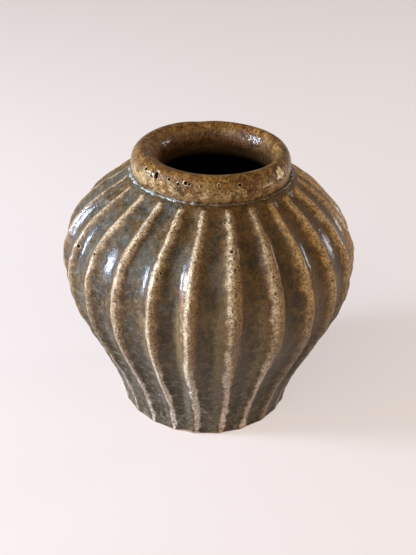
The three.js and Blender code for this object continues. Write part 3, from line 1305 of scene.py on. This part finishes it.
@dataclass(frozen=True)
class CollarGlaze:
    """The same ash glaze on the collar, where it stayed warmer.

    It gives the eye a glossy brown with golden, tawny and rusty patches, dark streaks, a toasted top and
    pale chipped rims round the pits.
    """

    brown: str = "#694722"
    dark: str = "#2C1C0C"
    golden: str = "#94763F"
    light: str = "#B89A6C"
    rust: str = "#7A4A22"
    toasted: str = "#744C1E"
    tawny: str = "#A07C42"
    cream: str = "#DCC59A"
    # Hole: painted shade in the pits.
    hole: str = "#120C07"
    # Inner and throat: painted shade on the inner face of the mouth, darker lower down.
    inner: str = "#68492A"
    throat: str = "#3A2713"

    def material(self) -> bpy.types.Material:
        """Builds the glaze of the collar.

        Returns:
            The finished material.
        """
        material, tree, shader = start_material("ash_glaze_on_rolled_collar")
        crest, pit, rim, scar, inside = (
            add(tree, "ShaderNodeAttribute", attribute_name=name).outputs["Fac"]
            for name in ("crest", "pit", "rim", "scar", "inside"))
        clouds = {name: pattern.build(tree) for name, pattern in COLLAR_CLOUDS.items()}
        cloud, mottle = clouds["cloud"], clouds["mottle"]
        # Painted shade down the inside of the mouth.
        within = layered(tree, self.throat, [
            Layer(self.inner, cloud, 0.3, 0.6, 1.0, zone(tree, (115, 121)))])
        chipped = add(tree, "ShaderNodeMapRange", {"Value": mottle, "From Min": 0.44, "From Max": 0.56})
        glaze = layered(tree, self.brown, [
            Layer(self.golden, clouds["patch"], 0.42, 0.58, 0.8),
            Layer(self.toasted, crest, 0.0, 1.0, 0.6),
            Layer(self.dark, clouds["streaks"], 0.50, 0.66, 0.7),
            Layer(self.light, cloud, 0.42, 0.62, 0.8, zone(tree, (115, 118), (120, 123))),
            Layer(self.rust, cloud, 0.52, 0.38, 0.35),
            Layer(self.dark, mottle, 0.46, 0.66, 0.6),
            Layer(self.tawny, cloud, 0.50, 0.60, 0.5, crest),
            Layer(within, inside),
            Layer(self.cream, rim, 0.0, 1.0, 0.8, chipped),
            Layer(self.cream, scar, 0.0, 0.6),
        ])
        # Painted shade in the pits.
        colour = layered(tree, speckle(tree, glaze, clouds["grain"], 0.15), [Layer(self.hole, pit)])
        tree.links.new(colour, shader.inputs["Base Color"])
        shader.inputs["Roughness"].default_value = 0.4
        wet = add(tree, "ShaderNodeMapRange", {
            "Value": mottle, "From Min": 0.60, "From Max": 0.48, "To Min": 0.12, "To Max": 0.42})
        drier = add(tree, "ShaderNodeMapRange", {"Value": crest, "To Min": 1.0, "To Max": 0.6})
        coat = add(tree, "ShaderNodeMath", {0: wet, 1: drier}, operation="MULTIPLY")
        tree.links.new(coat.outputs[0], shader.inputs["Coat Weight"])
        GlassySkin(depth=0.7, waves=0.6, blur=0.08).fit(tree, shader, clouds)
        return material


@dataclass(frozen=True)
class PooledGlaze:
    """Glaze that ran together and cooled thick: a grey-blue glass, smooth and very glossy, its pale grey
    partly painted glints, most on the left side.
    """

    # Pooled glaze colour, made pale partly as painted glints.
    glass: str = "#9C9E98"
    deep: str = "#5C472A"
    relief: float = 1.6

    def material(self) -> bpy.types.Material:
        """Builds the glaze of the joint's ring.

        Returns:
            The finished material.
        """
        material, tree, shader = start_material("pooled_ash_glaze")
        ash = add(tree, "ShaderNodeAttribute", attribute_name="ash").outputs["Fac"]
        cloud = Pattern(2.2).build(tree)
        # More pale glass on the left side, partly painted glints.
        share = weighed(tree, -0.23, [(cloud, 1.0), (ash, 0.3)])
        colour = layered(tree, self.deep, [Layer(self.glass, share, 0.42, 0.64)])
        tree.links.new(colour, shader.inputs["Base Color"])
        bump = add(tree, "ShaderNodeBump", {
            "Strength": 1.0, "Distance": self.relief * MM, "Height": cloud})
        tree.links.new(bump.outputs[0], shader.inputs["Normal"])
        shader.inputs["Roughness"].default_value = 0.12
        shader.inputs["IOR"].default_value = 1.52
        return material


@dataclass(frozen=True)
class BareStoneware:
    """Fired stoneware clay, turned and left bare below: sandy, matt and faintly pink."""

    clay: str = "#B98F73"
    iron: str = "#7C5138"
    glazed: str = "#33241A"
    relief: float = 0.3

    def material(self) -> bpy.types.Material:
        """Builds the clay of the base disc, with glaze on the side that faces into the jar.

        Returns:
            The finished material.
        """
        material, tree, shader = start_material("bare_stoneware_turned")
        bare = add(tree, "ShaderNodeAttribute", attribute_name="bare").outputs["Fac"]
        cloud = Pattern(9, detail=4).build(tree)
        grog = Pattern(0.7, detail=2, roughness=0.7).build(tree)
        clay = layered(tree, self.clay, [
            Layer(self.iron, cloud, 0.5, 0.75, 0.5), Layer(self.iron, grog, 0.6, 0.72, 0.6)])
        colour = layered(tree, self.glazed, [Layer(clay, bare)])
        tree.links.new(colour, shader.inputs["Base Color"])
        roughness = add(tree, "ShaderNodeMapRange", {"Value": bare, "To Min": 0.25, "To Max": 0.9})
        tree.links.new(roughness.outputs[0], shader.inputs["Roughness"])
        bump = add(tree, "ShaderNodeBump", {
            "Strength": 0.5, "Distance": self.relief * MM, "Height": grog})
        tree.links.new(bump.outputs[0], shader.inputs["Normal"])
        return material


class LampRole(Enum):
    """What each lamp is for."""

    # The bright highlights on the left
    WINDOW = "window"
    # The blue light round the highlights
    SKY = "sky"
    # Weak, wide light from the front
    ROOM = "room"
    # Light on the right side, which leaves no mirror image
    FILL = "fill"
    # Thin highlights along the right edge
    RIM = "rim"


@dataclass(frozen=True)
class Lamp:
    """A soft rectangular lamp that faces the jar, with or without a mirror image in the glaze."""

    role: LampRole
    place: tuple[float, float, float]
    size: tuple[float, float]
    power: float
    tint: str
    mirrored: bool = True

    def build(self, aim: Vector) -> None:
        """Hangs the lamp.

        Args:
            aim: the point that it faces.
        """
        light = bpy.data.lights.new(self.role.value, "AREA")
        light.shape = "RECTANGLE"
        light.size, light.size_y = self.size
        light.energy = self.power
        light.color = linear(self.tint)[:3]
        lamp = bpy.data.objects.new(self.role.value, light)
        lamp.location = self.place
        lamp.rotation_euler = (aim - Vector(self.place)).to_track_quat("-Z", "Y").to_euler()
        lamp.visible_glossy = self.mirrored
        bpy.context.scene.collection.objects.link(lamp)


@dataclass
class Studio:
    """The pale floor, the soft lamps and the camera."""

    floor: str = "#AAA19C"
    floor_paleness: str = "#F6ECE9"
    floor_glow: float = 0.58
    sky: str = "#F4F2F0"
    sky_strength: float = 0.15
    sky_paleness: float = 0.35
    horizon_paleness: float = 0.62
    horizon_rise: tuple[float, float] = (0.1, 0.4)
    floor_size: float = 6.0
    aim_height: float = 0.0605
    camera_distance: float = 0.3879
    camera_elevation: float = 31.33
    camera_roll: float = 1.86
    long_side_pixels: int = 555
    focal_pixels: int = 834
    sensor: float = 36.0
    lamps: tuple[Lamp, ...] = (
        Lamp(LampRole.WINDOW, (-0.915, -0.12, 0.26), (0.17, 0.24), 14.0, "#EAF1FF"),
        Lamp(LampRole.SKY, (-0.935, -0.12, 0.26), (0.34, 0.42), 7.7, "#88BAFF"),
        Lamp(LampRole.ROOM, (-0.80, -0.95, 0.80), (1.3, 1.3), 13.0, "#FFF3E6"),
        Lamp(LampRole.FILL, (1.05, -0.60, 0.52), (0.6, 0.6), 4.6, "#FFE2C0", mirrored=False),
        Lamp(LampRole.RIM, (0.98, 0.42, 0.24), (0.10, 0.28), 3.2, "#EEF0F4"),
    )

    def build(self) -> None:
        """Builds the floor, the lamps, the sky and the camera."""
        self.build_floor()
        aim = Vector((0, 0, self.aim_height))
        for lamp in self.lamps:
            lamp.build(aim)
        self.build_sky()
        self.build_camera(aim)
        bpy.context.scene.view_settings.view_transform = "Standard"

    def build_floor(self) -> None:
        """Lays the plain pale floor."""
        half = self.floor_size / 2
        mesh = bpy.data.meshes.new("pale_floor")
        mesh.from_pydata([(-half, -half, 0), (half, -half, 0), (half, half, 0), (-half, half, 0)], [],
                         [(0, 1, 2, 3)])
        floor = bpy.data.objects.new("pale_floor", mesh)
        bpy.context.scene.collection.objects.link(floor)
        material, tree, shader = start_material("matt_pale_paint")
        shader.inputs["Base Color"].default_value = linear(self.floor)
        shader.inputs["Roughness"].default_value = 0.9
        shader.inputs["Specular IOR Level"].default_value = 0.05
        glow = add(tree, "ShaderNodeMath", {0: self.rays_seen(tree), 1: self.floor_glow},
                   operation="MULTIPLY")
        shader.inputs["Emission Color"].default_value = linear(self.floor_paleness)
        tree.links.new(glow.outputs[0], shader.inputs["Emission Strength"])
        floor.data.materials.append(material)

    def rays_seen(self, tree: Nodes) -> Node:
        """Adds a mask of the rays that show the studio itself, straight on, mirrored or through glass.

        Args:
            tree: the node tree that it goes into.

        Returns:
            The node of the mask.
        """
        path = add(tree, "ShaderNodeLightPath").outputs
        seen = path["Is Camera Ray"]
        for ray in ("Is Glossy Ray", "Is Transmission Ray"):
            seen = add(tree, "ShaderNodeMath", {0: seen, 1: path[ray]}, operation="MAXIMUM")
        return seen

    def build_sky(self) -> None:
        """Sets the even light of the room."""
        world = bpy.data.worlds.new("studio")
        world.use_nodes = True
        tree = world.node_tree
        background = tree.nodes["Background"]
        background.inputs["Color"].default_value = linear(self.sky)
        direction = add(tree, "ShaderNodeTexCoord").outputs["Generated"]
        rise = add(tree, "ShaderNodeSeparateXYZ", {0: direction}).outputs["Z"]
        low, high = self.horizon_rise
        pale = add(tree, "ShaderNodeMapRange", {
            "Value": rise, "From Min": low, "From Max": high, "To Min": self.horizon_paleness,
            "To Max": self.sky_paleness})
        shown = add(tree, "ShaderNodeMapRange", {
            "Value": self.rays_seen(tree), "To Min": self.sky_strength, "To Max": pale})
        tree.links.new(shown.outputs[0], background.inputs["Strength"])
        bpy.context.scene.world = world

    def build_camera(self, aim: Vector) -> None:
        """Sets the camera at the photograph's angle.

        Args:
            aim: the point that it faces.
        """
        data = bpy.data.cameras.new("camera")
        data.sensor_width = self.sensor
        data.lens = self.focal_pixels / self.long_side_pixels * self.sensor
        data.clip_start, data.clip_end = 0.01, 20
        lift = math.radians(self.camera_elevation)
        back = Vector((0, -math.cos(lift), math.sin(lift)))
        camera = bpy.data.objects.new("camera", data)
        level = (-back).to_track_quat("-Z", "Y").to_matrix().to_4x4()
        roll = Matrix.Rotation(math.radians(self.camera_roll), 4, "Z")
        camera.matrix_world = Matrix.Translation(aim + back * self.camera_distance) @ level @ roll
        bpy.context.scene.collection.objects.link(camera)
        bpy.context.scene.camera = camera


@dataclass(frozen=True)
class Dressing:
    """A finished piece, its material, and what it stands for."""

    piece: bpy.types.Object
    finish: bpy.types.Material
    slot: str
    node: str | None = None

    def fit(self) -> None:
        """Gives the piece its material and seats it on the jar."""
        self.piece.data.materials.append(self.finish)
        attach(self.piece, "root")
        if self.node:
            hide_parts(self.node)
        LOG.info("%s: %d faces", self.piece.name, len(self.piece.data.polygons))


def main() -> None:
    """Builds the jar piece by piece, then the studio round it."""
    logging.basicConfig(level=logging.INFO, format="%(message)s")
    Studio().build()
    for dressing in (
        Dressing(RibbedWall().build(), AshGlaze().material(), "body_glaze", "fluted_body"),
        Dressing(Collar().build(), CollarGlaze().material(), "collar_glaze", "collar"),
        Dressing(JointPool().build(), PooledGlaze().material(), "body_glaze"),
        Dressing(BaseDisc().build(), BareStoneware().material(), "bare_clay", "base_disc"),
    ):
        dressing.fit()


if __name__ == "__main__":
    main()
